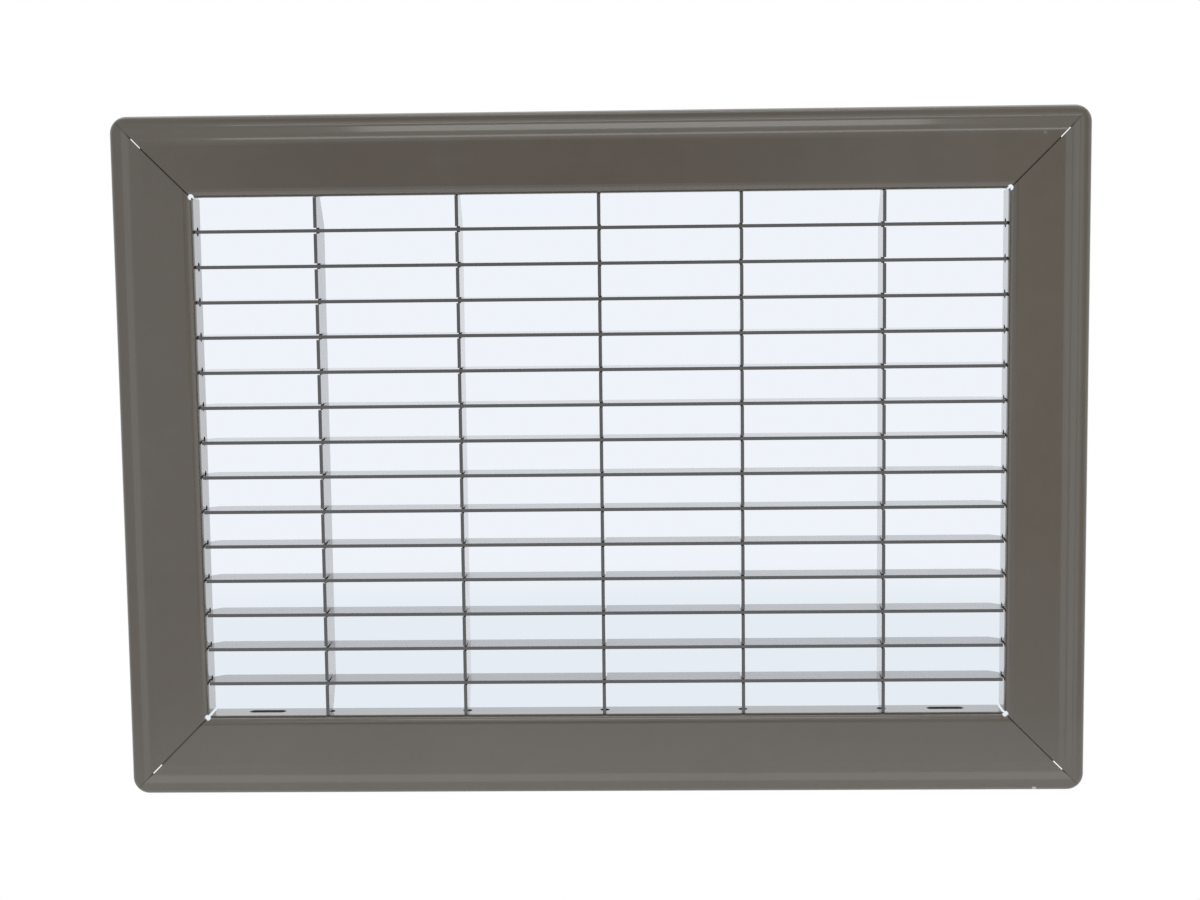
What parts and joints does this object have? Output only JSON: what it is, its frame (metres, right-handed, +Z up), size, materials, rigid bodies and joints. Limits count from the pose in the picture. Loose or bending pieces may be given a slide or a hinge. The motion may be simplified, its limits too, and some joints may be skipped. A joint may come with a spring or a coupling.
{
  "type": "return air grille",
  "caption": "Painted sheet-steel return air grille with a mitred, stepped face frame, a rear duct collar, thin horizontal blades and notched upright cross bars.",
  "frame": {"origin": "middle of the duct opening on the seat plane, where the rear edges of the turned-back lip meet the wall or floor", "axes": "+X along the width, +Z up along the height as the grille stands in the picture, +Y back into the duct, the face looking toward -Y"},
  "size_m": [0.3492, 0.0195, 0.2476],
  "materials": {
    "rail_paint": "semi-gloss taupe baked paint",
    "gusset_paint": "semi-gloss taupe baked paint",
    "blade_paint": "semi-gloss taupe baked paint",
    "bar_paint": "semi-gloss taupe baked paint"
  },
  "bodies": {
    "root": {"top_rail": "rail_paint", "bottom_rail": "rail_paint", "left_rail": "rail_paint", "right_rail": "rail_paint", "gusset_top_left": "gusset_paint", "gusset_top_right": "gusset_paint", "gusset_bottom_left": "gusset_paint", "gusset_bottom_right": "gusset_paint", "blade_01": "blade_paint", "blade_02": "blade_paint", "blade_03": "blade_paint", "blade_04": "blade_paint", "blade_05": "blade_paint", "blade_06": "blade_paint", "blade_07": "blade_paint", "blade_08": "blade_paint", "blade_09": "blade_paint", "blade_10": "blade_paint", "blade_11": "blade_paint", "blade_12": "blade_paint", "blade_13": "blade_paint", "blade_14": "blade_paint", "cross_bar_1": "bar_paint", "cross_bar_2": "bar_paint", "cross_bar_3": "bar_paint", "cross_bar_4": "bar_paint", "cross_bar_5": "bar_paint"}
  },
  "joints": []
}
